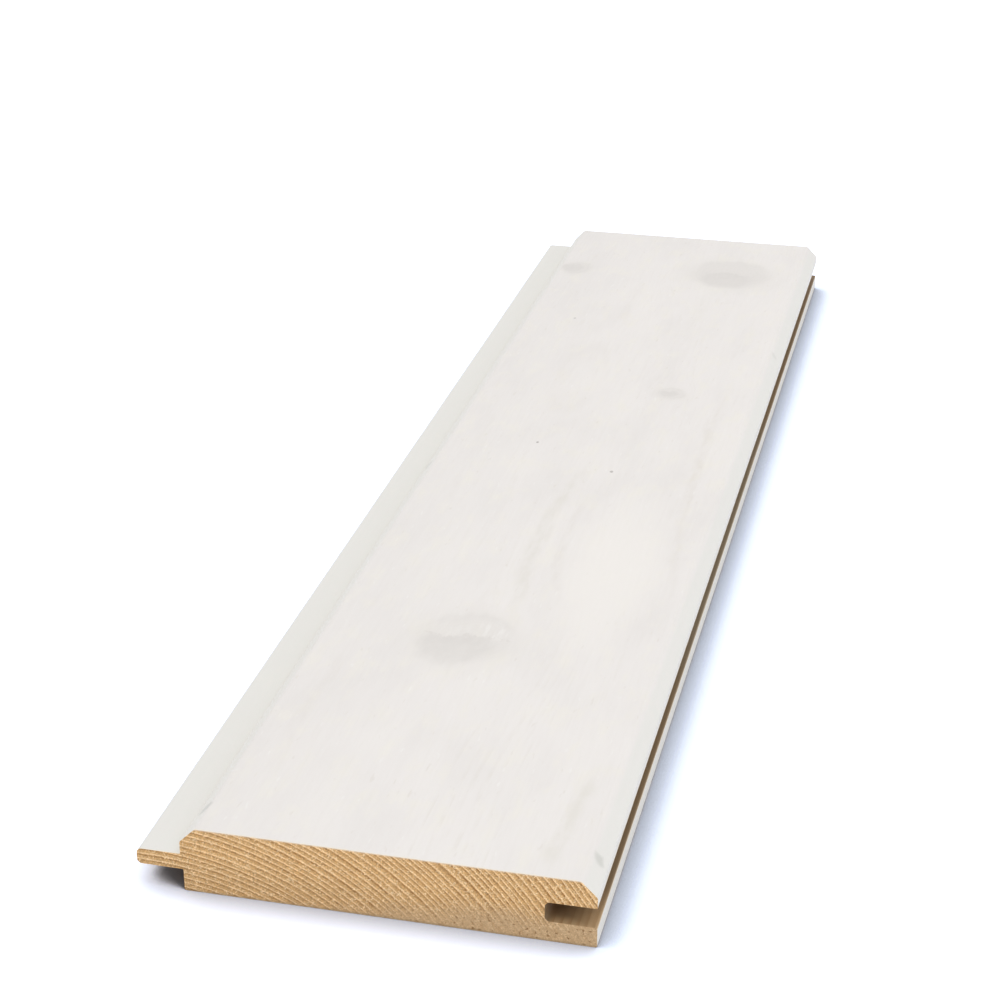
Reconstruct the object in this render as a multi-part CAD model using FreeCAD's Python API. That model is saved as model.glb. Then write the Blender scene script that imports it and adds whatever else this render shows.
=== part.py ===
# Tongue and groove board: one length of planed softwood that lines a wall or a ceiling.
# Its section is drawn as it shows on the cut end, then drawn out along the whole board.
# Millimetres. +Y runs along the board, +Z points out of its good face, and the tongue is at -X.
# The origin is on the back face, in the middle of the length and of the overall width.

import FreeCAD
import Part
import math
import os

# The board
length = 400.0
thickness = 15.0
cover_width = 86.5              # between the two edges of the good face, what one laid board covers

# The tongue
tongue_length = 9.5             # from the shoulder above it to the tip of its nose
tongue_thickness = 3.6
tongue_centre_height = 6.85     # above the back face
nose_radius = 1.1

# The room that the next board's tongue has in the groove
groove_side_clearance = 0.45    # above the tongue, and the same below it
groove_end_clearance = 1.1      # ahead of the nose, for boards that swell
groove_corner_radius = 1.1

# The bevel along both edges of the good face: two laid boards form a V
bevel_width = 3.4
bevel_depth = 3.4
bevel_round = 1.0               # planed off both of the bevel's edges

# The back and the inner edges
back_joint_gap = 0.5            # the shoulder below the tongue stands back, so boards close at the face
back_edge_round = 0.4
groove_mouth_round = 0.3
tongue_root_radius = 0.3

# Two rounds that take up a whole wall leave no straight run between them
shortest_run = 0.001


def fitted_round(before, corner, after, radius):
    # The start, middle and end of the arc that rounds a corner.
    # Its wall limits it: it takes at most half of the shorter run beside the corner.
    back = before - corner
    ahead = after - corner
    half_angle = back.getAngle(ahead) / 2
    setback = min(radius / math.tan(half_angle), back.Length / 2, ahead.Length / 2)
    depth = setback / math.cos(half_angle) - setback * math.tan(half_angle)
    back.normalize()
    ahead.normalize()
    inward = back + ahead
    inward.normalize()
    return corner + back * setback, corner + inward * depth, corner + ahead * setback


def rounded_outline(corners):
    # Joins corners of (x, z, radius) by straight runs and tangent arcs into one closed wire.
    points = [FreeCAD.Vector(x, 0, z) for x, z, _ in corners]
    rounds = []
    for i, (_, _, radius) in enumerate(corners):
        rounds.append(fitted_round(points[i - 1], points[i], points[(i + 1) % len(points)], radius))
    edges = []
    for i, (start, middle, end) in enumerate(rounds):
        run_start = rounds[i - 1][2]
        if run_start.distanceToPoint(start) > shortest_run:
            edges.append(Part.LineSegment(run_start, start).toShape())
        if start.distanceToPoint(end) > shortest_run:
            edges.append(Part.Arc(start, middle, end).toShape())
    return Part.Wire(edges)


def board_section():
    # Goes round the section from the back face's tongue side, past the groove and over the good face.
    nose_x = -(cover_width + tongue_length) / 2
    shoulder_x = nose_x + tongue_length
    lower_shoulder_x = shoulder_x + back_joint_gap
    lip_x = shoulder_x + cover_width
    tongue_bottom = tongue_centre_height - tongue_thickness / 2
    tongue_top = tongue_centre_height + tongue_thickness / 2
    groove_back_x = lip_x - tongue_length - groove_end_clearance
    groove_bottom = tongue_bottom - groove_side_clearance
    groove_top = tongue_top + groove_side_clearance
    bevel_z = thickness - bevel_depth
    corners = [
        (lower_shoulder_x, 0, back_edge_round),
        (lip_x, 0, back_edge_round),
        (lip_x, groove_bottom, groove_mouth_round),
        (groove_back_x, groove_bottom, groove_corner_radius),
        (groove_back_x, groove_top, groove_corner_radius),
        (lip_x, groove_top, groove_mouth_round),
        (lip_x, bevel_z, bevel_round),
        (lip_x - bevel_width, thickness, bevel_round),
        (shoulder_x + bevel_width, thickness, bevel_round),
        (shoulder_x, bevel_z, bevel_round),
        (shoulder_x, tongue_top, tongue_root_radius),
        (nose_x, tongue_top, nose_radius),
        (nose_x, tongue_bottom, nose_radius),
        (lower_shoulder_x, tongue_bottom, tongue_root_radius),
    ]
    return Part.Face(rounded_outline(corners))


def tongue_and_groove_board():
    section = board_section()
    section.translate(FreeCAD.Vector(0, -length / 2, 0))
    return section.extrude(FreeCAD.Vector(0, length, 0))


os.makedirs("parts", exist_ok=True)
board = tongue_and_groove_board()
board.exportStep("parts/tongue_and_groove_board.step")
print("board volume in cubic millimetres:", round(board.Volume), "valid:", board.isValid())
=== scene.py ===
import bpy
import math
import numpy as np
from functools import partial
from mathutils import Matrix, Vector
from mathutils.geometry import delaunay_2d_cdt
from mathutils.kdtree import KDTree


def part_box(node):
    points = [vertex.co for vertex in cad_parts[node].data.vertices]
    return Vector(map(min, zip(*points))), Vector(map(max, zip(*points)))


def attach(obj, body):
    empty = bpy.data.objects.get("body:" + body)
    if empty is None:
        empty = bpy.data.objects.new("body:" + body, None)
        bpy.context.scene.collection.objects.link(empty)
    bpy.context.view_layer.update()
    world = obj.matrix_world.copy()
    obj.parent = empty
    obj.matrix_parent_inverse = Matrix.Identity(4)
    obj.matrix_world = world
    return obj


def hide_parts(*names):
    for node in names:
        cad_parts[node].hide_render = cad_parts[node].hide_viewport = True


# A tongue and groove board of white stained pine that lies on its back.
# The frame is in metres: +Y along the board, +Z out of the good face, the tongue at -X.

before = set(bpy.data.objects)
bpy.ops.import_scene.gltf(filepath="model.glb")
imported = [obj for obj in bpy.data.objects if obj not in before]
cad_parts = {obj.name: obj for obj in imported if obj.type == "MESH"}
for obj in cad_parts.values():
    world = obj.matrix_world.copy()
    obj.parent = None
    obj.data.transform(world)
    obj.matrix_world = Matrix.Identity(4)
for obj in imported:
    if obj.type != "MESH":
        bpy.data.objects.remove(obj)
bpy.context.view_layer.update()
scene = bpy.context.scene
mm = 0.001
print("frame loaded")


def hexColour(code):
    parts = [int(code[i:i + 2], 16) / 255 for i in (1, 3, 5)]
    return tuple(c / 12.92 if c <= 0.04045 else ((c + 0.055) / 1.055) ** 2.4 for c in parts) + (1,)


# A node given as an input stands for its first output in use. Hex strings become linear colours.
def addNode(tree, kind, inputs=None, **settings):
    node = tree.nodes.new(kind)
    for name, value in settings.items():
        setattr(node, name, value)
    for place, value in (inputs or {}).items():
        if isinstance(value, bpy.types.Node):
            value = next(s for s in value.outputs if s.enabled)
        if isinstance(value, bpy.types.NodeSocket):
            tree.links.new(value, node.inputs[place])
        else:
            node.inputs[place].default_value = hexColour(value) if isinstance(value, str) else value
    return node


# The kinds of node that come back most often
mathNode, vectorMath, mixNode = "ShaderNodeMath", "ShaderNodeVectorMath", "ShaderNodeMix"
noiseNode, rangeNode, splitNode = "ShaderNodeTexNoise", "ShaderNodeMapRange", "ShaderNodeSeparateXYZ"
joinNode, whiteNoise = "ShaderNodeCombineXYZ", "ShaderNodeTexWhiteNoise"
smooth = {"interpolation_type": "SMOOTHSTEP"}


# How far a value is from a middle one, on either side of it
def farFrom(put, value, middle):
    off = put(mathNode, {0: value, 1: middle}, operation="SUBTRACT")
    return put(mathNode, {0: off}, operation="ABSOLUTE")


# Noise drawn out along the board: the size of its spots across and along, in millimetres
def grainNoise(put, place, across, along, detail, roughness=0.5, shift=(0, 0, 0)):
    scale = (1 / across, 1 / along, 1 / across)
    where = put(vectorMath, {0: place, 1: scale, 2: shift}, operation="MULTIPLY_ADD")
    return put(noiseNode, {"Vector": where, "Scale": 1, "Detail": detail, "Roughness": roughness})


# The tree that the board was sawn from. Millimetres in the board's frame.
pine = {
    "ringSpacing": 1.24,
    "pith": (-45.0, -52.5),         # x and z at the near end, so the board is cut well off the heart
    "pithLean": (0.012, -0.016),    # how the heart drifts for each millimetre along the board
    "nearEnd": -200.0,
    "faceHeight": 15.0,
    "wander": (0.9, 4.2),           # how far the rings leave a true circle at the near end, and past it
    "wanderOver": 90.0,             # from the near end, how long it takes to grow
    "ringJitter": 0.12,             # in rings
    "yearRun": 6.5,                 # wide and narrow rings come in groups of this size
    "yearShift": 1.35,              # and shift the count by up to so many rings
    "middleRadius": 90.0,           # from the heart to the middle of the board
    "knotReach": 1.15,              # how far round a knot the rings are pushed aside, in its radius
    # Knots: x and y on the good face, how strongly the stain lets them through, how much the disc shows,
    # how much of that is left in its far half, and the core: its middle, radius and the line that cuts it off
    "knots": {
        "near": {"at": (-1.6, -108.3), "radius": 12.6, "strength": 0.94, "body": 0.46, "farHalf": 0.8,
                 "core": (-1.4, -5.2), "coreRadius": 9.8, "cut": 0.6},
        "far": {"at": (22.3, 163.8), "radius": 14.2, "strength": 0.95, "body": 0.85, "farHalf": 0.85,
                "core": (-0.6, -5.6), "coreRadius": 9.4, "cut": 1.0},
        "edge": {"at": (-29.9, 159.2), "radius": 5.6, "strength": 0.8, "body": 0.8, "farHalf": 0.8,
                 "core": (-1.4, 0.2), "coreRadius": 4.0, "cut": 3.0},
        "small": {"at": (20.2, 53.6), "radius": 4.6, "strength": 0.85, "body": 0.7, "farHalf": 0.8,
                  "core": (-0.6, 0.0), "coreRadius": 3.2, "cut": 2.0},
    },
}


# Position in millimetres, pulled straight to the good face along the rays from the heart,
# so that a knot that grew out of the heart keeps its place right through the board.
def grownPlace(tree, place):
    put = partial(addNode, tree)
    pithX, pithZ = pine["pith"]
    x, y, z = put(splitNode, {0: place}).outputs
    reach = put(mathNode, {0: z, 1: pithZ}, operation="SUBTRACT")
    reach = put(mathNode, {0: reach, 1: pine["faceHeight"] - pithZ}, operation="DIVIDE")
    across = put(mathNode, {0: x, 1: pithX}, operation="SUBTRACT")
    across = put(mathNode, {0: across, 1: reach}, operation="DIVIDE")
    across = put(mathNode, {0: across, 1: pithX}, operation="ADD")
    return put(joinNode, {0: across, 1: y})


# Rings round the heart, pushed aside by the knots as water is by a post.
# Gives how far through its ring a point is, the ring's number, and the way out and the way round in mm.
def growthRings(tree, place):
    put = partial(addNode, tree)
    faceward = grownPlace(tree, place)
    bent = place
    for knot in pine["knots"].values():
        radius = knot["radius"] * pine["knotReach"]
        away = put(vectorMath, {0: faceward, 1: (*knot["at"], 0)}, operation="SUBTRACT")
        oval = put(vectorMath, {0: away, 1: (1, 0.6, 0)}, operation="MULTIPLY")
        far = put(vectorMath, {0: oval}, operation="LENGTH").outputs["Value"]
        far = put(mathNode, {0: far, 1: radius}, operation="MAXIMUM")
        push = put(mathNode, {0: radius, 1: far}, operation="DIVIDE")
        push = put(mathNode, {0: push, 1: 3}, operation="POWER")
        aside = put(vectorMath, {0: away, 1: (1, 0, 0)}, operation="MULTIPLY")
        aside = put(vectorMath, {0: aside, "Scale": push}, operation="SCALE")
        bent = put(vectorMath, {0: bent, 1: aside}, operation="SUBTRACT")
    drift = grainNoise(put, place, 34, 150, 2).outputs["Color"]
    drift = put(vectorMath, {0: drift, 1: (0.5, 0.5, 0.5)}, operation="SUBTRACT")
    endward = put(splitNode, {0: place}).outputs["Y"]
    straight, loose = pine["wander"]
    wanderEnd = pine["nearEnd"] + pine["wanderOver"]
    wander = put(rangeNode, {0: endward, 1: pine["nearEnd"], 2: wanderEnd, 3: straight, 4: loose})
    drift = put(vectorMath, {0: drift, "Scale": wander}, operation="SCALE")
    bent = put(vectorMath, {0: bent, 1: drift}, operation="ADD")
    x, y, z = put(splitNode, {0: bent}).outputs
    leanX, leanZ = pine["pithLean"]
    along = put(mathNode, {0: y, 1: pine["nearEnd"]}, operation="SUBTRACT")
    heartX = put(mathNode, {0: along, 1: leanX, 2: pine["pith"][0]}, operation="MULTIPLY_ADD")
    heartZ = put(mathNode, {0: along, 1: leanZ, 2: pine["pith"][1]}, operation="MULTIPLY_ADD")
    outX = put(mathNode, {0: x, 1: heartX}, operation="SUBTRACT")
    outZ = put(mathNode, {0: z, 1: heartZ}, operation="SUBTRACT")
    out = put(joinNode, {0: outX, 2: outZ})
    radius = put(vectorMath, {0: out}, operation="LENGTH").outputs["Value"]
    turn = put(mathNode, {0: outX, 1: outZ}, operation="ARCTAN2")
    around = put(mathNode, {0: turn, 1: pine["middleRadius"]}, operation="MULTIPLY")
    # Good and bad summers
    years = put(mathNode, {0: radius, 1: 1 / pine["yearRun"]}, operation="MULTIPLY")
    years = put(noiseNode, {"W": years, "Scale": 1, "Detail": 1}, noise_dimensions="1D")
    count = put(mathNode, {0: radius, 1: 1 / pine["ringSpacing"]}, operation="MULTIPLY")
    count = put(mathNode, {0: years, 1: pine["yearShift"], 2: count}, operation="MULTIPLY_ADD")
    fine = grainNoise(put, place, 1.11111, 50, 3, 0.6)
    count = put(mathNode, {0: fine, 1: 2 * pine["ringJitter"], 2: count}, operation="MULTIPLY_ADD")
    phase = put(mathNode, {0: count}, operation="FRACT")
    ring = put(mathNode, {0: count}, operation="FLOOR")
    return {"phase": phase, "ring": ring, "out": radius, "around": around, "face": faceward}


# How far a point is from the middle of an oval on the face: 1 at its edge.
# A lean slants the oval: mm along for each mm across.
def ovalReach(put, place, at, halfWidth, halfLength, lean=0.0):
    away = put(vectorMath, {0: place, 1: (*at, 0)}, operation="SUBTRACT")
    offX, offY, offZ = put(splitNode, {0: away}).outputs
    offY = put(mathNode, {0: offX, 1: -lean, 2: offY}, operation="MULTIPLY_ADD")
    away = put(joinNode, {0: offX, 1: offY})
    away = put(vectorMath, {0: away, 1: (1 / halfWidth, 1 / halfLength, 0)}, operation="MULTIPLY")
    return put(vectorMath, {0: away}, operation="LENGTH").outputs["Value"]


def newMaterial(name):
    material = bpy.data.materials.new(name)
    material.use_nodes = True
    tree = material.node_tree
    tree.nodes.clear()
    put = partial(addNode, tree)
    where = put("ShaderNodeTexCoord").outputs["Object"]
    place = put(vectorMath, {0: where, "Scale": 1 / mm}, operation="SCALE")
    shader = put("ShaderNodeBsdfPrincipled")
    put("ShaderNodeOutputMaterial", {"Surface": shader})
    return material, tree, put, place, shader


# White stained pine, planed: a thin white stain that the wood's grain and knots show through.
# It gives the eye a nearly white, warm satin face with faint lines along it.
whiteStain = {
    "colour": "#EFEBE8",
    "dim": "#E9E5E2",
    "warm": "#F4F0EB",
    "cool": "#EAE9E4",              # on the bevels, tongue and edges: the stain lies thinner there, and the greyer tone is also painted shade on these lower, sloping faces
    "grainLine": "#E0DAD2",
    "fibreLine": "#E4E0DA",
    "fleck": "#F6F4F1",
    "streak": "#E8E4DE",
    "honey": "#F2EEE4",             # where the stain is thin and the wood warms it
    "mouth": "#E3D2B4",             # the stain is rubbed off along the groove's two edges
    # painted shade on the tongue, close in by the shoulder
    "shoulder": "#ECE7DC",
    "knot": "#E5E1DD",
    "knotCore": "#E0DCD8",
    "crack": "#BDB5AD",
    "pin": "#6A615A",
    "dab": "#B9BAB2",
    "bareEdge": "#F4EAD8",          # a painted highlight along the last half millimetre of the face at each end
    "roughness": 0.52,
    "shine": 0.24,
    "bevelTop": (15.7, 14.5),       # z where the bevels begin, with the mottle's waver. mm from here on
    "bevelSide": (-34.6, -35.8),    # x where the tongue side's bevel begins
    "tongueRoot": (-41.2, -38.8),   # x on the tongue, up to the shoulder, over which the painted shade by the shoulder grows
    "grooveMiddle": 6.85,           # z
    "grooveSide": (46.8, 47.4),     # x of the two edges beside the groove
    # Streaks: x at the bend, y at the bend, curve in x per mm squared, first y, last y, half width,
    # colour, strength
    "streaks": (
        (3.3, -48, 0.0019, 8, -106, 1.65, "streak", 0.95),
        (9.6, -45, 0.0040, -16, -92, 0.9, "grainLine", 0.28),
        (36.0, 20, 0.0004, 66, -50, 1.3, "grainLine", 0.30),
        (36.5, 0, 0.0009, -20, -90, 1.3, "grainLine", 0.18),
        (37.4, -193, 0.0029, -152, -206, 1.5, "streak", 0.95),
        (-6.0, 128, 0.0030, 154, 100, 1.6, "grainLine", 0.16),
        (-28.0, -150, 0.0016, -106, -182, 1.2, "grainLine", 0.14),
        (18.0, 120, 0.0012, 154, 90, 1.8, "streak", 0.30),
    ),
    # Pins: x, y, half width across, half width along, strength
    "pins": (
        (-20.3, 110.2, 0.5, 0.7, 0.30),
        (-10.3, 8.9, 0.5, 0.7, 0.50),
        (13.8, -6.3, 0.5, 0.7, 0.45),
    ),
    # Dabs: x, y, half width across, half width along, lean, strength
    "dabs": (
        (-37.2, -9.6, 0.8, 3.0, 0.0, 0.28),
        (-36.2, -190.4, 1.1, 1.9, 0.28, 0.46),
        (45.9, 94.5, 1.1, 1.5, -0.8, 0.18),
        (46.1, -189.3, 1.15, 1.7, -0.55, 0.42),
    ),
    "eye": {"at": (-8.6, 60.0), "halfWidth": 6.6, "halfLength": 25.0, "strength": 0.15},
    "palePatch": {"at": (25.0, -66.0), "halfWidth": 13.0, "halfLength": 44.0, "strength": 0.75},
    "livelyGrain": {"at": (24.0, -185.0), "halfWidth": 24.0, "halfLength": 70.0},
}


def makeWhiteStain(values):
    material, tree, put, place, shader = newMaterial("white_stained_planed_pine")
    rings = growthRings(tree, place)
    x, y, z = put(splitNode, {0: place}).outputs
    # The face, seen through a little waver so that no mark has a drawn edge
    wave = grainNoise(put, place, 6.25, 12.5, 3).outputs["Color"]
    wave = put(vectorMath, {0: wave, 1: (0.5, 0.5, 0.5)}, operation="SUBTRACT")
    wave = put(vectorMath, {0: wave, 1: (3.4, 6.0, 0)}, operation="MULTIPLY")
    face = put(vectorMath, {0: rings["face"], 1: wave}, operation="ADD")
    faceX, faceY, faceZ = put(splitNode, {0: face}).outputs
    zones = {}
    for name in ("eye", "palePatch", "livelyGrain"):
        zone = values[name]
        zones[name] = ovalReach(put, face, zone["at"], zone["halfWidth"], zone["halfLength"])

    layers = []     # colour, then one or two amounts that are multiplied, in the order they are laid on

    # Slow drifts of tone, longer than they are wide, and a little dimmer towards the tongue
    broad = grainNoise(put, place, 12, 36, 3)
    layers.append(("warm", put(rangeNode, {0: broad, 1: 0.5, 2: 0.75, 3: 0, 4: 0.4})))
    layers.append(("dim", put(rangeNode, {0: broad, 1: 0.5, 2: 0.25, 3: 0, 4: 0.7})))
    layers.append(("dim", put(rangeNode, {0: x, 1: 0, 2: -34, 3: 0, 4: 0.4}, **smooth)))
    blotch = grainNoise(put, place, 5, 11, 3, 0.6, (2, 7, 1))
    layers.append(("honey", put(rangeNode, {0: blotch, 1: 0.5, 2: 0.72, 3: 0, 4: 0.5})))

    # The dark edge of each ring, broken up and stronger in some places than in others
    line = put(rangeNode, {0: rings["phase"], 1: 0.35, 2: 0.86}, **smooth)
    lineEnd = put(rangeNode, {0: rings["phase"], 1: 1.0, 2: 0.9}, **smooth)
    line = put(mathNode, {0: line, 1: lineEnd}, operation="MULTIPLY")
    shade = put(whiteNoise, {"W": rings["ring"]}, noise_dimensions="1D")
    line = put(mathNode, {0: line, 1: shade}, operation="MULTIPLY")
    patchy = grainNoise(put, place, 11, 55, 2, shift=(4, 0, 9))
    patchy = put(rangeNode, {0: patchy, 1: 0.38, 2: 0.72, 3: 0.03, 4: 0.15})
    lively = put(rangeNode, {0: zones["livelyGrain"], 1: 1.2, 2: 0.4, 3: 1, 4: 1.8}, **smooth)
    patchy = put(mathNode, {0: patchy, 1: lively}, operation="MULTIPLY")
    gaps = grainNoise(put, place, 1.81818, 6.66667, 2)
    thinned = put(rangeNode, {0: gaps, 1: 0.40, 2: 0.60, 3: 0.45, 4: 1.1})
    gaps = put(rangeNode, {0: gaps, 1: 0.44, 2: 0.64, 3: 0.1, 4: 1.5})
    patchy = put(mathNode, {0: patchy, 1: gaps}, operation="MULTIPLY")
    layers.append(("grainLine", line, patchy))

    # Fibres: less than a millimetre wide and about a centimetre long
    fibre = grainNoise(put, place, 0.714286, 11.7647, 3, 0.6)
    layers.append(("fibreLine", put(rangeNode, {0: fibre, 1: 0.52, 2: 0.8, 3: 0, 4: 0.20})))
    layers.append(("fleck", put(rangeNode, {0: fibre, 1: 0.46, 2: 0.2, 3: 0, 4: 0.18})))

    # Sparse ticks, dark and pale, a few millimetres long
    ticks = grainNoise(put, place, 1.05263, 4.16667, 1, shift=(11, 5, 2))
    layers.append(("grainLine", put(rangeNode, {0: ticks, 1: 0.70, 2: 0.80, 3: 0, 4: 0.36})))
    layers.append(("fleck", put(rangeNode, {0: ticks, 1: 0.29, 2: 0.20, 3: 0, 4: 0.45})))

    # The pale patch, the eye in the grain, which shows only at its two ends, and the streaks
    eye, patch = values["eye"], values["palePatch"]
    layers.append(("warm", put(rangeNode, {0: zones["palePatch"], 1: 1.3, 2: 0.3, 3: 0, 4: patch["strength"]},
                               **smooth)))
    offEye = farFrom(put, faceY, eye["at"][1])
    eyeEnds = put(rangeNode, {0: offEye, 1: 0.35 * eye["halfLength"], 2: 0.9 * eye["halfLength"], 3: 0.06,
                              4: eye["strength"]}, **smooth)
    for ringAt, width in ((1.0, 0.36), (0.6, 0.26)):
        off = farFrom(put, zones["eye"], ringAt)
        off = put(rangeNode, {0: off, 1: width, 2: 0.0}, **smooth)
        layers.append(("grainLine", off, eyeEnds))
    for bendX, bendY, curve, first, last, width, colour, strength in values["streaks"]:
        past = put(mathNode, {0: faceY, 1: bendY}, operation="SUBTRACT")
        past = put(mathNode, {0: past, 1: 2}, operation="POWER")
        centre = put(mathNode, {0: past, 1: curve, 2: bendX}, operation="MULTIPLY_ADD")
        off = farFrom(put, faceX, centre)
        off = put(rangeNode, {0: off, 1: width * 1.9, 2: 0, 3: 0, 4: strength}, **smooth)
        middle, half = (first + last) / 2, abs(first - last) / 2
        along = farFrom(put, faceY, middle)
        along = put(rangeNode, {0: along, 1: half, 2: half * 0.3}, **smooth)
        along = put(mathNode, {0: along, 1: thinned}, operation="MULTIPLY")
        layers.append((colour, off, along))

    # Knots: a soft disc with fine rings of its own, and a core that is cut off along a ragged line
    ragged = grainNoise(put, place, 2.22222, 5, 3, 0.65)
    torn = grainNoise(put, place, 1.81818, 2.94118, 2, shift=(7, 3, 0))
    uneven = put(rangeNode, {0: torn, 1: 0.36, 2: 0.62, 3: 0.72, 4: 1.06})
    for name, knot in pine["knots"].items():
        radius, power = knot["radius"], knot["strength"]
        offY = put(mathNode, {0: faceY, 1: knot["at"][1]}, operation="SUBTRACT")
        far = ovalReach(put, face, knot["at"], radius, radius)
        layers.append(("streak", put(rangeNode, {0: far, 1: 1.6, 2: 0.95, 3: 0, 4: 0.3 * power}, **smooth)))
        body = put(rangeNode, {0: far, 1: 1.15, 2: 0.7, 3: 0, 4: knot["body"]}, **smooth)
        farHalf = put(rangeNode, {0: offY, 1: 0, 2: 0.4 * radius, 3: 1, 4: knot["farHalf"]}, **smooth)
        disc = put(mathNode, {0: body, 1: farHalf}, operation="MULTIPLY")
        layers.append(("knot", disc))
        rim = farFrom(put, far, 0.88)
        rim = put(rangeNode, {0: rim, 1: 0.24, 2: 0.0, 3: 0, 4: 0.55 * power}, **smooth)
        rimEnds = put(rangeNode, {0: offY, 1: 0.2 * radius, 2: 0.7 * radius}, **smooth)
        rimEnds = put(mathNode, {0: rimEnds, 1: thinned}, operation="MULTIPLY")
        layers.append(("knot", rim, rimEnds))
        turns = put(mathNode, {0: far, 1: radius / 1.9}, operation="MULTIPLY")
        turns = put(mathNode, {0: ragged, 1: 2.2, 2: turns}, operation="MULTIPLY_ADD")
        turns = put(mathNode, {0: turns, 1: 2 * math.pi}, operation="MULTIPLY")
        turns = put(mathNode, {0: turns}, operation="SINE")
        turns = put(mathNode, {0: turns, 1: disc}, operation="MULTIPLY")
        layers.append(("knotCore", put(mathNode, {0: turns, 1: 0.24}, operation="MULTIPLY", use_clamp=True)))
        coreAt = [a + b for a, b in zip(knot["at"], knot["core"])]
        core = ovalReach(put, face, coreAt, knot["coreRadius"], knot["coreRadius"])
        core = put(rangeNode, {0: core, 1: 1.08, 2: 0.7, 3: 0, 4: power}, **smooth)
        cut = put(mathNode, {0: ragged, 1: 7.0, 2: -3.5 - knot["cut"]}, operation="MULTIPLY_ADD")
        cut = put(mathNode, {0: offY, 1: cut}, operation="ADD")
        kept = put(rangeNode, {0: cut, 1: 0.9, 2: -0.7}, **smooth)
        core = put(mathNode, {0: core, 1: kept}, operation="MULTIPLY")
        fade = put(rangeNode, {0: offY, 1: -radius, 2: 0, 3: 0.45, 4: 1})
        fade = put(mathNode, {0: fade, 1: uneven}, operation="MULTIPLY")
        layers.append(("knotCore", core, fade))
        if name == "near":          # torn fibres along the cut: a thin crack with pale flecks above it
            crack = farFrom(put, cut, 0.5)
            crack = put(rangeNode, {0: crack, 1: 0.8, 2: 0.2, 3: 0, 4: 0.14})
            inside = put(rangeNode, {0: far, 1: 0.95, 2: 0.7})
            crack = put(mathNode, {0: crack, 1: inside}, operation="MULTIPLY")
            broken = put(rangeNode, {0: torn, 1: 0.42, 2: 0.56})
            layers.append(("crack", crack, broken))
            above = farFrom(put, cut, 3.6)
            above = put(rangeNode, {0: above, 1: 4.0, 2: 1.2})
            above = put(mathNode, {0: above, 1: inside}, operation="MULTIPLY")
            gathered = put(rangeNode, {0: faceX, 1: -1.5, 2: 3.5, 3: 0.15, 4: 0.48}, **smooth)
            above = put(mathNode, {0: above, 1: gathered}, operation="MULTIPLY")
            flakes = grainNoise(put, place, 1.05263, 6.25, 2, shift=(3, 8, 0))
            flakes = put(rangeNode, {0: flakes, 1: 0.49, 2: 0.60})
            layers.append(("fleck", above, flakes))

    # The bevels, the tongue and the edges: a greyer tone that is partly painted shade, painted shade on the
    # tongue by the shoulder, and the stain rubbed off beside the groove
    mottle = grainNoise(put, place, 1.42857, 3.33333, 3, shift=(0, 2, 6))
    # The greyer tone below the face: thinner stain and painted shade
    cool = put(mathNode, {0: mottle, 1: 1.6, 2: z}, operation="MULTIPLY_ADD")
    high, low = values["bevelTop"]
    cool = put(rangeNode, {0: cool, 1: high, 2: low}, **smooth)
    mottle = put(rangeNode, {0: mottle, 1: 0.35, 2: 0.65, 3: 0.62, 4: 1.0})
    layers.append(("cool", cool, mottle))
    start, end = values["bevelSide"]
    # Painted shade on the tongue, growing towards the shoulder
    shoulder = put(rangeNode, {0: x, 1: start, 2: end}, **smooth)
    start, end = values["tongueRoot"]
    outward = put(rangeNode, {0: x, 1: start, 2: end, 3: 0, 4: 0.4}, **smooth)
    layers.append(("shoulder", shoulder, outward))
    offGroove = farFrom(put, z, values["grooveMiddle"])
    offGroove = put(mathNode, {0: mottle, 1: -0.9, 2: offGroove}, operation="MULTIPLY_ADD")
    mouth = put(rangeNode, {0: offGroove, 1: 2.6, 2: 1.7, 3: 0, 4: 0.8}, **smooth)
    start, end = values["grooveSide"]
    grooveSide = put(rangeNode, {0: x, 1: start, 2: end})
    layers.append(("mouth", mouth, grooveSide))

    # Pins, dabs and a painted highlight along the edge at the two ends
    for pinX, pinY, halfWidth, halfLength, strength in values["pins"]:
        spot = ovalReach(put, place, (pinX, pinY), halfWidth, halfLength)
        spot = put(mathNode, {0: ragged, 1: 1.6, 2: spot}, operation="MULTIPLY_ADD")
        layers.append(("pin", put(rangeNode, {0: spot, 1: 1.95, 2: 1.1, 3: 0, 4: strength}, **smooth)))
    for dabX, dabY, halfWidth, halfLength, lean, strength in values["dabs"]:
        spot = ovalReach(put, place, (dabX, dabY), halfWidth, halfLength, lean)
        spot = put(mathNode, {0: torn, 1: 1.2, 2: spot}, operation="MULTIPLY_ADD")
        layers.append(("dab", put(rangeNode, {0: spot, 1: 1.9, 2: 1.0, 3: 0, 4: strength}, **smooth)))
    fromMiddle = put(mathNode, {0: y}, operation="ABSOLUTE")
    # The painted highlight: a ragged strip on the last half millimetre at each end
    raggedReach = put(noiseNode, {"Vector": place, "Scale": 1.6, "Detail": 2})
    raggedReach = put(mathNode, {0: raggedReach, 1: 1.2, 2: fromMiddle}, operation="MULTIPLY_ADD")
    boardEnd = -pine["nearEnd"]
    bareEdge = put(rangeNode, {0: raggedReach, 1: boardEnd + 0.1, 2: boardEnd + 0.6, 3: 0, 4: 0.8})
    layers.append(("bareEdge", bareEdge))

    colour = values["colour"]
    for name, amount, *second in layers:
        if second:
            amount = put(mathNode, {0: amount, 1: second[0]}, operation="MULTIPLY")
        colour = put(mixNode, {0: amount, 6: colour, 7: values[name]}, data_type="RGBA")
    tree.links.new(colour.outputs[2], shader.inputs["Base Color"])

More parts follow.
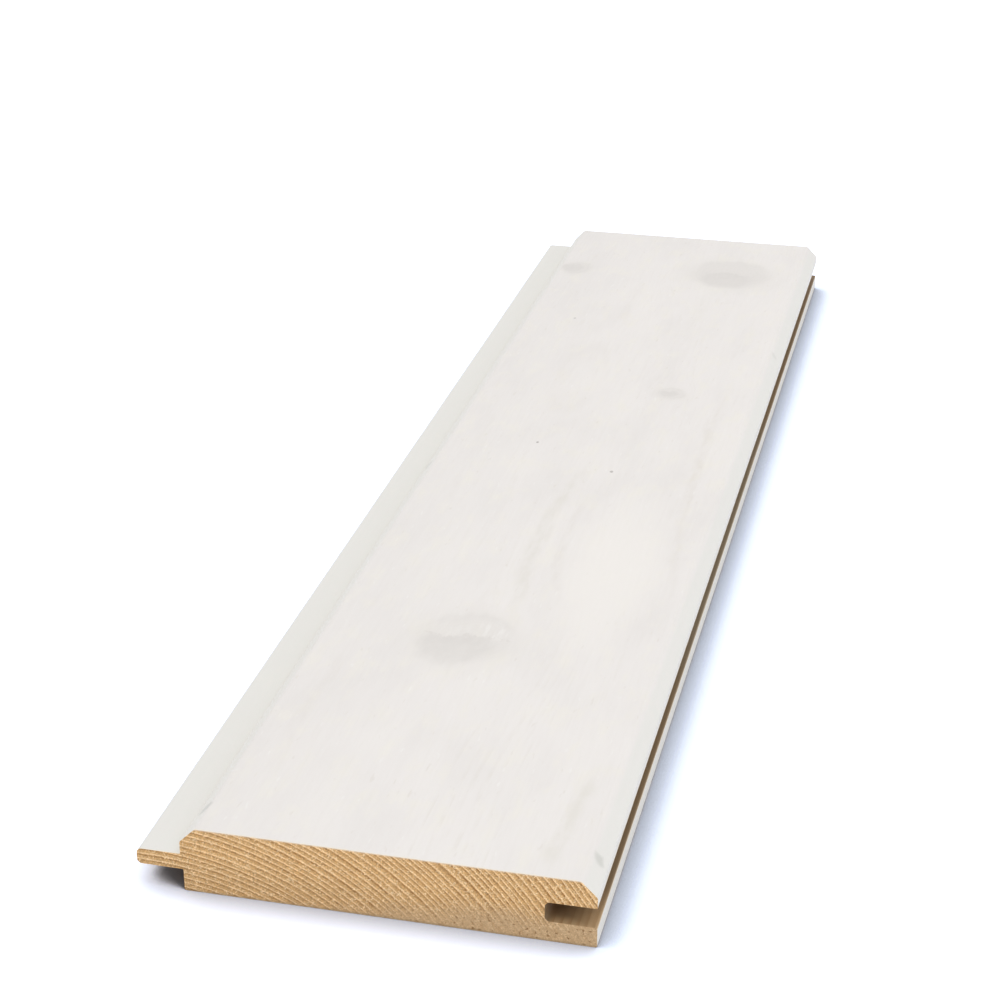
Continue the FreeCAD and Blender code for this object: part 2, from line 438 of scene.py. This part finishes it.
    dull = values["roughness"]
    gloss = put(rangeNode, {0: fibre, 1: 0.3, 2: 0.7, 3: dull - 0.06, 4: dull + 0.08})
    tree.links.new(gloss.outputs[0], shader.inputs["Roughness"])
    shader.inputs["Specular IOR Level"].default_value = values["shine"]
    bump = put("ShaderNodeBump", {"Height": fibre, "Strength": 0.3, "Distance": 0.02 * mm})
    tree.links.new(bump.outputs[0], shader.inputs["Normal"])
    return material


# Sawn pine, cut across: open end grain.
# It gives the eye a matt and gritty tan, with a pale line and a broken dark one in each ring.
endGrain = {
    "tan": "#D1A770",
    "pale": "#F8D29F",
    "dark": "#93642C",
    "speck": "#835D31",
    "glint": "#FFE3B8",
    "smear": "#CBAB82",             # low on the groove side the saw has smeared the rings
    "low": "#F4F6FA",               # painted shade: darkens and cools the lower half
    "footShade": "#8A775C",              # painted shade along the lowest half millimetre, by the floor
    "topEdgeHighlight": "#EEDFCB",         # a painted highlight along the top edge, under the good face
    "strokeSize": (0.4, 1.3),       # mm out from the heart, and mm round it
    "gritSize": 0.42,               # mm, coarser than real wood cells, which don't show at this distance
    "pepperSize": 0.24,             # mm, the finest grain in it
    "dotSize": 0.8,                 # mm between dots, which are half as wide
    "blotSize": 1.1,                # mm
    "roughness": 0.78,
}


def makeEndGrain(values):
    material, tree, put, place, shader = newMaterial("sawn_pine_end_grain")
    rings = growthRings(tree, place)
    x, y, z = put(splitNode, {0: place}).outputs
    # Strokes lie along the rings, so they are drawn in a grid that goes out from the heart and round it
    polar = put(joinNode, {0: rings["out"], 1: rings["around"]})
    strokeOut, strokeRound = values["strokeSize"]
    stroke = put(vectorMath, {0: polar, 1: (1 / strokeOut, 1 / strokeRound, 0)}, operation="MULTIPLY")
    stroke = put(noiseNode, {"Vector": stroke, "Scale": 1, "Detail": 2, "Roughness": 0.6},
                 noise_dimensions="2D")
    grit = put(noiseNode, {"Vector": place, "Scale": 1 / values["gritSize"], "Detail": 3, "Roughness": 0.85})
    sparkle = put(vectorMath, {0: place, 1: (31, 7, 17)}, operation="ADD")
    sparkle = put(noiseNode, {"Vector": sparkle, "Scale": 1 / values["gritSize"], "Detail": 1})
    broad = put(noiseNode, {"Vector": place, "Scale": 0.07, "Detail": 2})

    # Each ring: a thin pale line, then tan, then a dark line that comes and goes
    shaken = put(mathNode, {0: grit, 1: 0.34, 2: rings["phase"]}, operation="MULTIPLY_ADD")
    shaken = put(mathNode, {0: shaken, 1: 0.77}, operation="ADD")
    shaken = put(mathNode, {0: shaken}, operation="FRACT")
    shade = put(whiteNoise, {"W": rings["ring"]}, noise_dimensions="1D")
    pale = farFrom(put, shaken, 0.14)
    paleWidth = put(rangeNode, {0: z, 1: 3, 2: 11, 3: 0.15, 4: 0.2})
    pale = put(rangeNode, {0: pale, 1: paleWidth, 2: 0.05, 3: 0, 4: 0.95}, **smooth)
    dark = put(rangeNode, {0: shaken, 1: 0.55, 2: 0.85}, **smooth)
    darkEnd = put(rangeNode, {0: shaken, 1: 1.0, 2: 0.94}, **smooth)
    dark = put(mathNode, {0: dark, 1: darkEnd}, operation="MULTIPLY")
    often = put(rangeNode, {0: shade, 3: 0.5, 4: 1.0})
    dark = put(mathNode, {0: dark, 1: often}, operation="MULTIPLY")
    broken = put(rangeNode, {0: stroke, 1: 0.36, 2: 0.58, 3: 0.4, 4: 1.0})
    dark = put(mathNode, {0: dark, 1: broken}, operation="MULTIPLY")
    colour = put(mixNode, {0: pale, 6: values["tan"], 7: values["pale"]}, data_type="RGBA")
    colour = put(mixNode, {0: dark, 6: colour, 7: values["dark"]}, data_type="RGBA")

    # Right and low: smoother, the rings fade. Lower down, painted shade darkens and cools it
    smear = put(mathNode, {0: x, 1: 1 / 34, 2: -0.1}, operation="MULTIPLY_ADD")
    smear = put(mathNode, {0: z, 1: -1 / 4.5, 2: smear}, operation="MULTIPLY_ADD")
    smear = put(mathNode, {0: broad, 1: 1.6, 2: smear}, operation="MULTIPLY_ADD")
    smear = put(rangeNode, {0: smear, 1: -0.3, 2: 1.2, 3: 0, 4: 0.84}, **smooth)
    colour = put(mixNode, {0: smear, 6: colour, 7: values["smear"]}, data_type="RGBA")
    # Painted shade over the lower half
    low = put(rangeNode, {0: z, 1: 9.5, 2: 3.5}, **smooth)
    colour = put(mixNode, {0: low, 6: colour, 7: values["low"]}, data_type="RGBA", blend_type="MULTIPLY")

    # Grit over all of it, with darker blots where the rings fade
    blots = put(noiseNode, {"Vector": place, "Scale": 1 / values["blotSize"], "Detail": 3, "Roughness": 0.6})
    blots = put(rangeNode, {0: blots, 1: 0.54, 2: 0.72, 3: 0, 4: 0.48})
    blots = put(mathNode, {0: blots, 1: smear}, operation="MULTIPLY")
    colour = put(mixNode, {0: blots, 6: colour, 7: values["dark"]}, data_type="RGBA")
    dots = put(noiseNode, {"Vector": place, "Scale": 1 / values["dotSize"], "Detail": 0})
    dots = put(rangeNode, {0: dots, 1: 0.33, 2: 0.25, 3: 0, 4: 1.0})
    dots = put(mathNode, {0: dots, 1: smear}, operation="MULTIPLY")
    specks = put(rangeNode, {0: grit, 1: 0.55, 2: 0.78, 3: 0, 4: 0.75})
    specks = put(mathNode, {0: specks, 1: dots}, operation="MAXIMUM")
    colour = put(mixNode, {0: specks, 6: colour, 7: values["speck"]}, data_type="RGBA")
    upper = put(rangeNode, {0: smear, 1: 0, 2: 0.84, 3: 0.65, 4: 0.3})
    glints = put(rangeNode, {0: sparkle, 1: 0.57, 2: 0.74})
    glints = put(mathNode, {0: glints, 1: upper}, operation="MULTIPLY")
    colour = put(mixNode, {0: glints, 6: colour, 7: values["glint"]}, data_type="RGBA")
    pepper = put(noiseNode, {"Vector": place, "Scale": 1 / values["pepperSize"], "Detail": 1})
    pepper = put(rangeNode, {0: pepper, 1: 0.3, 2: 0.7, 3: -1, 4: 1})
    fineness = put(rangeNode, {0: smear, 1: 0, 2: 0.84, 3: 0.28, 4: 0.15})
    pepper = put(mathNode, {0: pepper, 1: fineness, 2: 0.99}, operation="MULTIPLY_ADD")
    colour = put(vectorMath, {0: colour.outputs[2], "Scale": pepper}, operation="SCALE")
    edge = put(mathNode, {0: grit, 1: 0.5, 2: z}, operation="MULTIPLY_ADD")
    # Painted shade along the lowest half millimetre, where the end meets the floor
    footShade = put(rangeNode, {0: edge, 1: 0.9, 2: 0.4, 3: 0, 4: 0.45}, **smooth)
    colour = put(mixNode, {0: footShade, 6: colour, 7: values["footShade"]}, data_type="RGBA")
    # A painted highlight along the top edge
    edge = put(rangeNode, {0: edge, 1: 14.85, 2: 15.3, 3: 0, 4: 0.75}, **smooth)
    colour = put(mixNode, {0: edge, 6: colour, 7: values["topEdgeHighlight"]}, data_type="RGBA")
    tree.links.new(colour.outputs[2], shader.inputs["Base Color"])
    shader.inputs["Roughness"].default_value = values["roughness"]
    height = put(mathNode, {0: grit, 1: -1.0, 2: pale}, operation="MULTIPLY_ADD")
    bump = put("ShaderNodeBump", {"Height": height, "Strength": 0.5, "Distance": 0.08 * mm})
    tree.links.new(bump.outputs[0], shader.inputs["Normal"])
    return material


# Bare pine, planed: the groove, the back and the underside of the tongue never got the stain.
# Honey coloured, with darker lines along it and the faint cross ripple that planer knives leave.
bareWood = {
    "light": "#DDB98A",
    "line": "#B58655",
    "knot": "#9A6A3D",
    "knotRim": "#6B4426",
    "dust": "#D3BC98",
    "deepShade": "#68431F",
    "grooveShade": "#866D4D",         # painted shade inside the groove, darker and duller
    "greyed": "#8C7C64",            # and greyer in one long stretch
    "greyedStretch": (-17.5, 77.5),  # y of its middle and half its length, mm
    # What changes in the groove: from and to in mm, and how much of it there is in the end
    "groove": {
        "wall": (36.0, 37.0, 0.92),     # x, from its back wall on
        "offWall": (37.9, 38.9, 1),     # x, clear of the wall's round corners
        "offBack": (1.0, 2.0, 1),       # z, clear of the board's back
        "mouth": (40.5, 48.0, 1),       # x
        "pit": (44.5, 37.5, 0.75),      # x, painted shade, darker the deeper in
        "nearEnd": (182, 199, 0.6),     # painted light: towards the near end it is lighter along the mouth
        "lip": (196.5, 200, 0.6),       # painted light: and right at that end all over
        "dusk": (200, 194, 1),          # painted shade: away from that end the pit is dark
    },
    "knifeSpacing": 1.8,            # mm for each knife cut
    "roughness": 0.62,
}


def makeBareWood(values):
    material, tree, put, place, shader = newMaterial("planed_bare_pine")
    rings = growthRings(tree, place)
    x, y, z = put(splitNode, {0: place}).outputs
    line = put(rangeNode, {0: rings["phase"], 1: 0.35, 2: 0.9}, **smooth)
    lineEnd = put(rangeNode, {0: rings["phase"], 1: 1.0, 2: 0.93}, **smooth)
    line = put(mathNode, {0: line, 1: lineEnd}, operation="MULTIPLY")
    fibre = grainNoise(put, place, 0.588235, 22.2222, 4, 0.65)
    streak = put(mathNode, {0: fibre, 1: 0.55, 2: -0.15}, operation="MULTIPLY_ADD")
    amount = put(mathNode, {0: line, 1: 0.62, 2: streak}, operation="MULTIPLY_ADD", use_clamp=True)
    colour = put(mixNode, {0: amount, 6: values["light"], 7: values["line"]}, data_type="RGBA")
    broad = grainNoise(put, place, 20, 90, 3)
    broad = put(rangeNode, {0: broad, 1: 0.45, 2: 0.75, 3: 0, 4: 0.5})
    colour = put(mixNode, {0: broad, 6: colour, 7: values["dust"]}, data_type="RGBA")

    # Knots: darker, with rings of their own, a dark rim and a small heart
    ragged = put(noiseNode, {"Vector": place, "Scale": 0.3, "Detail": 3})
    for knot in pine["knots"].values():
        far = ovalReach(put, rings["face"], knot["at"], knot["radius"], knot["radius"])
        turns = put(mathNode, {0: far, 1: knot["radius"] / 1.5}, operation="MULTIPLY")
        turns = put(mathNode, {0: ragged, 1: 3.0, 2: turns}, operation="MULTIPLY_ADD")
        turns = put(mathNode, {0: turns, 1: 2 * math.pi}, operation="MULTIPLY")
        turns = put(mathNode, {0: turns}, operation="SINE")
        heart = put(rangeNode, {0: far, 1: 0.2, 2: 0.05, 3: 0, 4: 0.9}, **smooth)
        far = put(mathNode, {0: ragged, 1: 0.4, 2: far}, operation="MULTIPLY_ADD")
        body = put(rangeNode, {0: far, 1: 1.24, 2: 1.08, 3: 0, 4: 0.8}, **smooth)
        colour = put(mixNode, {0: body, 6: colour, 7: values["knot"]}, data_type="RGBA")
        turns = put(mathNode, {0: turns, 1: body}, operation="MULTIPLY")
        turns = put(mathNode, {0: turns, 1: 0.35, 2: heart}, operation="MULTIPLY_ADD", use_clamp=True)
        colour = put(mixNode, {0: turns, 6: colour, 7: values["knotRim"]}, data_type="RGBA")
        rim = farFrom(put, far, 1.1)
        rim = put(rangeNode, {0: rim, 1: 0.12, 2: 0.0, 3: 0, 4: 0.55}, **smooth)
        colour = put(mixNode, {0: rim, 6: colour, 7: values["knotRim"]}, data_type="RGBA")

    # The groove: painted shade inside it, lighter where light comes in at the near end, and darkest deep in
    nearward = put(mathNode, {0: y, 1: -1}, operation="MULTIPLY")
    groove = {}
    ways = ((x, {}, ("wall", "offWall")), (z, {}, ("offBack",)),
            (x, smooth, ("mouth", "pit")), (nearward, smooth, ("nearEnd", "lip", "dusk")))
    for way, look, names in ways:
        for name in names:
            start, end, most = values["groove"][name]
            groove[name] = put(rangeNode, {0: way, 1: start, 2: end, 3: 0, 4: most}, **look)
    # Painted light: lighter along the mouth towards the near end, and all over right at that end
    lit = put(mathNode, {0: groove["nearEnd"], 1: groove["mouth"]}, operation="MULTIPLY")
    lip = put(mathNode, {0: groove["lip"], 1: groove["offWall"]}, operation="MULTIPLY")
    lit = put(mathNode, {0: lit, 1: lip}, operation="MAXIMUM")
    lit = put(mathNode, {0: 1.0, 1: lit}, operation="SUBTRACT")
    inGroove = put(mathNode, {0: groove["wall"], 1: lit}, operation="MULTIPLY")
    inGroove = put(mathNode, {0: inGroove, 1: groove["offBack"]}, operation="MULTIPLY")
    middle, half = values["greyedStretch"]
    greyed = farFrom(put, y, middle)
    greyed = put(rangeNode, {0: greyed, 1: half + 20, 2: half - 20, 3: 0.2, 4: 1}, **smooth)
    grooveShadeColour = put(mixNode, {0: greyed, 6: values["grooveShade"], 7: values["greyed"]}, data_type="RGBA")
    colour = put(mixNode, {0: inGroove, 6: colour, 7: grooveShadeColour}, data_type="RGBA")
    # Painted shade, darker deep in and away from the near end
    deep = put(mathNode, {0: groove["pit"], 1: inGroove}, operation="MULTIPLY")
    deep = put(mathNode, {0: deep, 1: groove["dusk"]}, operation="MULTIPLY")
    colour = put(mixNode, {0: deep, 6: colour, 7: values["deepShade"]}, data_type="RGBA")
    tree.links.new(colour.outputs[2], shader.inputs["Base Color"])
    shader.inputs["Roughness"].default_value = values["roughness"]
    ripple = put(mathNode, {0: y, 1: 2 * math.pi / values["knifeSpacing"]}, operation="MULTIPLY")
    ripple = put(mathNode, {0: ripple}, operation="SINE")
    height = put(mathNode, {0: ripple, 1: 0.25, 2: fibre}, operation="MULTIPLY_ADD")
    bump = put("ShaderNodeBump", {"Height": height, "Strength": 0.4, "Distance": 0.04 * mm})
    tree.links.new(bump.outputs[0], shader.inputs["Normal"])
    return material


stainMaterial = makeWhiteStain(whiteStain)
endMaterial = makeEndGrain(endGrain)
bareMaterial = makeBareWood(bareWood)
print("materials ready")

# The board: the CAD section at the near end, drawn out along the length. Millimetres.
board = {
    "outlineStep": 0.55,            # between points along the section's outline
    "endStep": 0.29,                # between points on the sawn ends
    "rows": 96,                     # cuts along the length
    "endRelief": 0.05,              # how deep the saw leaves the soft part of each ring
    "faceRelief": 0.025,            # and the planer
    "grooveX": (37.0, 47.98),       # what the stain didn't reach
    "grooveZ": (4.4, 9.3),
    "underTongueX": -37.5,          # and under the tongue
    "underTongueZ": 5.3,
    "endFacing": 0.7,               # a normal that points along the board by more than this is on an end
    "downFacing": -0.35,            # one that points down by more than this is on the back
    "mergeWithin": 0.01,
    "sharpAngle": 50.0,             # degrees
    "seed": 7,
}


# The outline of the near end, in order, as (x, z) in metres, with straight runs divided evenly
def nearEndOutline(node, step):
    corners = [tuple(round(c, 6) for c in v.co) for v in node.data.vertices]
    near = min(y for x, y, z in corners)
    ways = set()
    for triangle in node.data.polygons:
        loop = [corners[i] for i in triangle.vertices]
        if all(y == near for x, y, z in loop):
            ways.update(zip(loop, loop[1:] + loop[:1]))
    following = {a: b for a, b in ways if (b, a) not in ways}
    outline, here = [], min(following)
    for _ in following:
        a, b = Vector((here[0], here[2])), Vector((following[here][0], following[here][2]))
        pieces = max(1, round((b - a).length / step))
        outline += [a.lerp(b, i / pieces) for i in range(pieces)]
        here = following[here]
    return outline, near


# The flat near end, with an even spread of points for its relief
def nearEndMesh(outline, near, step):
    edge = np.array(outline)
    ahead = np.roll(edge, -1, axis=0)
    rowStep = step * math.sqrt(3) / 2
    points = []
    for row, z in enumerate(np.arange(edge[:, 1].min(), edge[:, 1].max(), rowStep)):
        xs = np.arange(edge[:, 0].min() + (row % 2) * step / 2, edge[:, 0].max(), step)
        over = (edge[:, 1] > z) != (ahead[:, 1] > z)
        a, b = edge[over], ahead[over]
        crossings = a[:, 0] + (z - a[:, 1]) / (b[:, 1] - a[:, 1]) * (b[:, 0] - a[:, 0])
        inside = (crossings[None, :] > xs[:, None]).sum(axis=1) % 2 == 1
        points += [Vector((x, z)) for x in xs[inside]]
    tree = KDTree(len(outline))
    for i, p in enumerate(outline):
        tree.insert((p.x, p.y, 0), i)
    tree.balance()
    clear = 0.75 * step
    points = [p for p in points if tree.find((p.x, p.y, 0))[2] > clear]
    flat = delaunay_2d_cdt(outline + points, [], [list(range(len(outline)))], 1, 1e-7)
    mesh = bpy.data.meshes.new("near_end")
    mesh.from_pydata([(p.x, near, p.y) for p in flat[0]], [], flat[2])
    return mesh


def boardTree():
    tree = bpy.data.node_groups.new("board_from_section", "GeometryNodeTree")
    put = partial(addNode, tree)
    face = tree.interface
    face.new_socket("Near End", in_out="INPUT", socket_type="NodeSocketGeometry")
    for name, kind in (("Length", "Float"), ("Rows", "Int"), ("End Relief", "Float"),
                       ("Face Relief", "Float"), ("Seed", "Int"), ("White Stain", "Material"),
                       ("End Grain", "Material"), ("Bare Wood", "Material")):
        face.new_socket(name, in_out="INPUT", socket_type="NodeSocket" + kind)
    face.new_socket("Board", in_out="OUTPUT", socket_type="NodeSocketGeometry")
    given = put("NodeGroupInput").outputs

    # Draw the outline out row by row
    stride = put(mathNode, {0: given["Length"], 1: given["Rows"]}, operation="DIVIDE")
    stride = put(joinNode, {1: stride})
    first = tree.nodes.new("GeometryNodeRepeatInput")
    last = tree.nodes.new("GeometryNodeRepeatOutput")
    first.pair_with_output(last)
    tree.links.new(given["Near End"], first.inputs["Geometry"])
    tree.links.new(given["Rows"], first.inputs["Iterations"])
    faces = put("GeometryNodeInputMeshEdgeNeighbors")
    rim = put(mathNode, {0: faces, 1: 1.5}, operation="LESS_THAN")      # edges of one face only
    grown = first.outputs["Geometry"]
    drawn = put("GeometryNodeExtrudeMesh", {"Mesh": grown, "Selection": rim, "Offset": stride}, mode="EDGES")
    tree.links.new(drawn.outputs["Mesh"], last.inputs["Geometry"])
    # The far end is the near one, turned to face the other way
    whole = put(joinNode, {1: given["Length"]})
    farEnd = put("GeometryNodeTransform", {"Geometry": given["Near End"], "Translation": whole})
    farEnd = put("GeometryNodeFlipFaces", {"Mesh": farEnd})
    solid = put("GeometryNodeJoinGeometry", {"Geometry": farEnd})
    tree.links.new(last.outputs["Geometry"], solid.inputs["Geometry"])
    solid = put("GeometryNodeMergeByDistance", {"Geometry": solid, "Distance": board["mergeWithin"] * mm})

    # Relief, only ever inwards: the soft wood of each ring lies lower, and the saw tears it deeper
    where = put("GeometryNodeInputPosition")
    place = put(vectorMath, {0: where, "Scale": 1 / mm}, operation="SCALE")
    rings = growthRings(tree, place)
    normal = put("GeometryNodeInputNormal")
    normalX, normalY, normalZ = put(splitNode, {0: normal}).outputs
    facing = put(mathNode, {0: normalY}, operation="ABSOLUTE")
    onEnd = put(mathNode, {0: facing, 1: board["endFacing"]}, operation="GREATER_THAN")
    soft = put(rangeNode, {0: rings["phase"], 1: 0.0, 2: 0.8, 3: 1, 4: 0}, **smooth)
    torn = put(noiseNode, {"Vector": place, "W": given["Seed"], "Scale": 1.1, "Detail": 2},
               noise_dimensions="4D")
    endDepth = put(mathNode, {0: soft, 1: torn}, operation="MULTIPLY")
    endDepth = put(mathNode, {0: endDepth, 1: given["End Relief"]}, operation="MULTIPLY")
    faceDepth = put(mathNode, {0: soft, 1: given["Face Relief"]}, operation="MULTIPLY")
    depth = put(mixNode, {0: onEnd, 2: faceDepth, 3: endDepth}, data_type="FLOAT")
    depth = put(mathNode, {0: depth, 1: -mm}, operation="MULTIPLY")
    inward = put(vectorMath, {0: normal, "Scale": depth}, operation="SCALE")
    solid = put("GeometryNodeSetPosition", {"Geometry": solid, "Offset": inward})
    solid = put("GeometryNodeRealizeInstances", {"Geometry": solid})

    # The stain covers the face, bevels, tongue and edges
    x, y, z = put(splitNode, {0: place}).outputs
    bare = put(mathNode, {0: normalZ, 1: board["downFacing"]}, operation="LESS_THAN")
    inGroove = None
    for side, (low, high) in ((x, board["grooveX"]), (z, board["grooveZ"])):
        past = put(mathNode, {0: side, 1: low}, operation="GREATER_THAN")
        short = put(mathNode, {0: side, 1: high}, operation="LESS_THAN")
        both = put(mathNode, {0: past, 1: short}, operation="MULTIPLY")
        inGroove = put(mathNode, {0: inGroove, 1: both}, operation="MULTIPLY") if inGroove else both
    bare = put(mathNode, {0: bare, 1: inGroove}, operation="MAXIMUM")
    underTongue = put(mathNode, {0: z, 1: board["underTongueZ"]}, operation="LESS_THAN")
    tongueSide = put(mathNode, {0: x, 1: board["underTongueX"]}, operation="LESS_THAN")
    underTongue = put(mathNode, {0: underTongue, 1: tongueSide}, operation="MULTIPLY")
    bare = put(mathNode, {0: bare, 1: underTongue}, operation="MAXIMUM")
    for name, chosen in (("White Stain", True), ("Bare Wood", bare), ("End Grain", onEnd)):
        solid = put("GeometryNodeSetMaterial",
                    {"Geometry": solid, "Selection": chosen, "Material": given[name]})
    put("NodeGroupOutput", {0: solid})
    return tree


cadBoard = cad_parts["tongue_and_groove_board"]
lowest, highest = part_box("tongue_and_groove_board")
outline, near = nearEndOutline(cadBoard, board["outlineStep"] * mm)
piece = bpy.data.objects.new("white_stained_board", nearEndMesh(outline, near, board["endStep"] * mm))
scene.collection.objects.link(piece)
grow = piece.modifiers.new("board", "NODES")
grow.node_group = boardTree()
settings = {
    "Length": highest.y - lowest.y, "Rows": board["rows"],
    "End Relief": board["endRelief"], "Face Relief": board["faceRelief"], "Seed": board["seed"],
    "White Stain": stainMaterial, "End Grain": endMaterial, "Bare Wood": bareMaterial,
}
for socket in grow.node_group.interface.items_tree:
    if socket.in_out == "INPUT" and socket.name in settings:
        grow[socket.identifier] = settings[socket.name]
drawnBoard = piece.evaluated_get(bpy.context.evaluated_depsgraph_get())
mesh = bpy.data.meshes.new_from_object(drawnBoard)
piece.modifiers.clear()
piece.data = mesh
mesh.shade_smooth()
mesh.set_sharp_from_angle(angle=math.radians(board["sharpAngle"]))
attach(piece, "root")
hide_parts("tongue_and_groove_board")
print("board:", len(outline), "points round,", sum(len(p.vertices) - 2 for p in mesh.polygons), "triangles")

# The stage: a white floor that keeps a cool, short shadow, and soft light from all round and above
stage = {
    "floorSize": 24.0,              # metres
    "floorBelow": 0.00004,          # just under the board, so the two faces don't meet
    "floorBounce": "#F2F2F4",       # what the floor sends back to the board
    "floorSeen": (1.42, 1.55, 1.83),  # what the camera sees: open floor goes to white, shadow stays cool
    "shadowReach": 0.0115,          # metres
    "shadowFrom": (-0.55, 0.07, 1),  # leans the shadow to the right
    "shadowDepth": 0.97,
    "hollow": (0.50, 0.2, 0.38),    # under the tongue, where most of the sky is shut out, it goes darker
    "hollowSide": -0.037,           # x, metres
    "sky": 0.80,
    # Soft boxes: watts, place, size
    "lamps": {
        "overhead": (2.2, (0.16, 0.10, 1.12), 1.0),
        "front": (1.5, (0.25, -1.00, 0.45), 0.8),
    },
}


def makeFloor(name, shaded):
    material = bpy.data.materials.new(name)
    material.use_nodes = True
    tree = material.node_tree
    tree.nodes.clear()
    put = partial(addNode, tree)
    path = put("ShaderNodeLightPath").outputs
    seen = put(mathNode, {0: path["Is Camera Ray"], 1: path["Is Glossy Ray"]}, operation="MAXIMUM")
    seen = put(mathNode, {0: seen, 1: path["Is Transmission Ray"]}, operation="MAXIMUM")
    shown = (*stage["floorSeen"], 1)
    if shaded:
        towards = put(joinNode, dict(enumerate(Vector(stage["shadowFrom"]).normalized())))
        close = put("ShaderNodeAmbientOcclusion", {"Distance": stage["shadowReach"], "Normal": towards},
                    samples=8)
        close = put(mathNode, {0: close.outputs["AO"], 1: stage["shadowDepth"]}, operation="POWER")
        openFrom, shut, darkest = stage["hollow"]
        hollow = put("ShaderNodeAmbientOcclusion", {"Distance": stage["shadowReach"]}, samples=16)
        hollow = put(rangeNode, {0: hollow.outputs["AO"], 1: darkest, 2: openFrom, 3: shut, 4: 1})
        floorX = put(splitNode, {0: put("ShaderNodeTexCoord").outputs["Object"]}).outputs["X"]
        outside = put(mathNode, {0: floorX, 1: stage["hollowSide"]}, operation="GREATER_THAN")
        hollow = put(mathNode, {0: hollow, 1: outside}, operation="MAXIMUM")
        close = put(mathNode, {0: close, 1: hollow}, operation="MULTIPLY")
        shown = put(vectorMath, {0: stage["floorSeen"], "Scale": close}, operation="SCALE")
    colour = put(mixNode, {0: seen, 6: stage["floorBounce"], 7: shown}, data_type="RGBA")
    shader = put("ShaderNodeBsdfDiffuse", {"Color": colour})
    put("ShaderNodeOutputMaterial", {"Surface": shader})
    return material


# Three by three faces: the close shadow falls on the middle one, round the board
floorMesh = bpy.data.meshes.new("floor")
half, margin = stage["floorSize"] / 2, stage["shadowReach"] + mm
acrossAt, alongAt = [(-half, lowest[i] - margin, highest[i] + margin, half) for i in (0, 1)]
corners = [(x, y, -stage["floorBelow"]) for y in alongAt for x in acrossAt]
floorMesh.from_pydata(corners, [], [(i, i + 1, i + 5, i + 4) for i in (5, 0, 1, 2, 4, 6, 8, 9, 10)])
floorMesh.materials.append(makeFloor("white_floor", False))
floorMesh.materials.append(makeFloor("white_floor_by_the_board", True))
floorMesh.polygons[0].material_index = 1
floor = bpy.data.objects.new("floor", floorMesh)
scene.collection.objects.link(floor)

world = bpy.data.worlds.new("studio")
scene.world = world
world.use_nodes = True
tree = world.node_tree
tree.nodes.clear()
put = partial(addNode, tree)
path = put("ShaderNodeLightPath").outputs
seen = put(mathNode, {0: path["Is Camera Ray"], 1: path["Is Glossy Ray"]}, operation="MAXIMUM")
seen = put(mathNode, {0: seen, 1: path["Is Transmission Ray"]}, operation="MAXIMUM")
strength = put(rangeNode, {0: seen, 3: stage["sky"], 4: 1.0})
sky = put("ShaderNodeBackground", {"Color": "#FFFFFF", "Strength": strength})
put("ShaderNodeOutputWorld", {"Surface": sky})

for name, (watts, spot, size) in stage["lamps"].items():
    lampData = bpy.data.lights.new(name, "AREA")
    lampData.energy, lampData.size = watts, size
    lamp = bpy.data.objects.new(name, lampData)
    lamp.location = spot
    lamp.rotation_euler = (-Vector(spot)).to_track_quat("-Z", "Y").to_euler()
    scene.collection.objects.link(lamp)

# The camera, as the photograph was taken. Degrees and metres.
view = {
    "aim": (-0.01158, -0.03135, 0.015),
    "distance": 0.59933,
    "azimuth": 13.327,
    "elevation": 24.787,
    "field": 25.0,
    "sensor": 36.0,                 # mm
    "clip": (0.01, 100),
}
azimuth, elevation = math.radians(view["azimuth"]), math.radians(view["elevation"])
level = math.cos(elevation)
back = Vector((math.sin(azimuth) * level, -math.cos(azimuth) * level, math.sin(elevation)))
cameraData = bpy.data.cameras.new("camera")
cameraData.sensor_width = view["sensor"]
cameraData.lens = view["sensor"] / 2 / math.tan(math.radians(view["field"] / 2))
cameraData.clip_start, cameraData.clip_end = view["clip"]
camera = bpy.data.objects.new("camera", cameraData)
camera.location = Vector(view["aim"]) + back * view["distance"]
camera.rotation_euler = (-back).to_track_quat("-Z", "Y").to_euler()
scene.collection.objects.link(camera)
scene.camera = camera
scene.view_settings.view_transform = "Standard"
print("stage ready")
